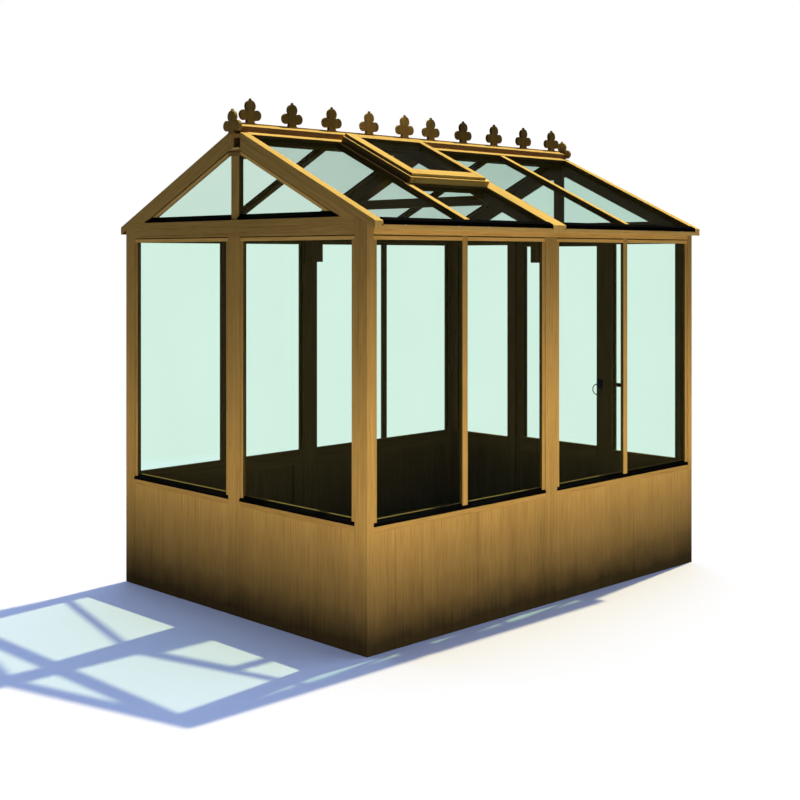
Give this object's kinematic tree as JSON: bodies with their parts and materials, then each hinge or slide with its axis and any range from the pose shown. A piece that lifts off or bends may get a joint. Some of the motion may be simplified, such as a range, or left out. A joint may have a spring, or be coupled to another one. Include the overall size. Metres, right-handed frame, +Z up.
{
  "type": "greenhouse",
  "caption": "Timber-framed glass greenhouse with boarded dwarf walls, a pitched glazed roof with a raised vent, trefoil ridge cresting and a hinged door in the far gable.",
  "frame": {"origin": "middle of the footprint on the ground, midway between the gables and between the long walls", "axes": "+Z up; +Y along the ridge from the plain gable towards the door gable; +X towards the long slope that carries the vent"},
  "size_m": [1.938, 2.485, 2.429],
  "materials": {
    "timber": "satin",
    "black_strip": "matt",
    "glass": "clear",
    "ironwork": "painted black"
  },
  "bodies": {
    "house": {"corner_posts": "timber", "front_mullion": "timber", "door_posts": "timber", "side_centre_posts": "timber", "dwarf_boards": "timber", "dwarf_top_rails": "timber", "dwarf_framing": "timber", "gable_head_rails": "timber", "raked_rails": "timber", "king_posts": "timber", "side_head_rails": "timber", "side_glazing_bars": "timber", "gable_beads": "timber", "side_beads": "timber", "roof_rafters": "timber", "roof_rails": "timber", "roof_glazing_bars": "timber", "vent_kerb": "timber", "vent_sash": "timber", "ridge_capping": "timber", "crest_boards": "timber", "ridge_finials": "timber", "end_finials": "timber", "truss_rafters": "timber", "collar_tie": "timber", "truss_legs": "timber", "door_stops": "timber", "sill_strips": "black_strip", "eaves_strips": "black_strip", "gable_glass": "glass", "side_glass": "glass", "roof_glass": "glass", "vent_glass": "glass", "hinge_fixed_leaves": "ironwork", "hinge_pins": "ironwork", "latch_keep": "ironwork"},
    "door": {"door_stiles": "timber", "door_rails": "timber", "door_boards": "timber", "door_sill_strip": "black_strip", "door_beads": "timber", "door_glass": "glass", "hinge_door_leaves": "ironwork", "door_latch": "ironwork"}
  },
  "joints": [
    {"name": "door_hinge", "type": "hinge", "parent": "house", "child": "door", "pos_m": [-0.33275, 1.236, 0.9], "axis": [0, 0, 1], "range_deg": [0, 100]}
  ]
}
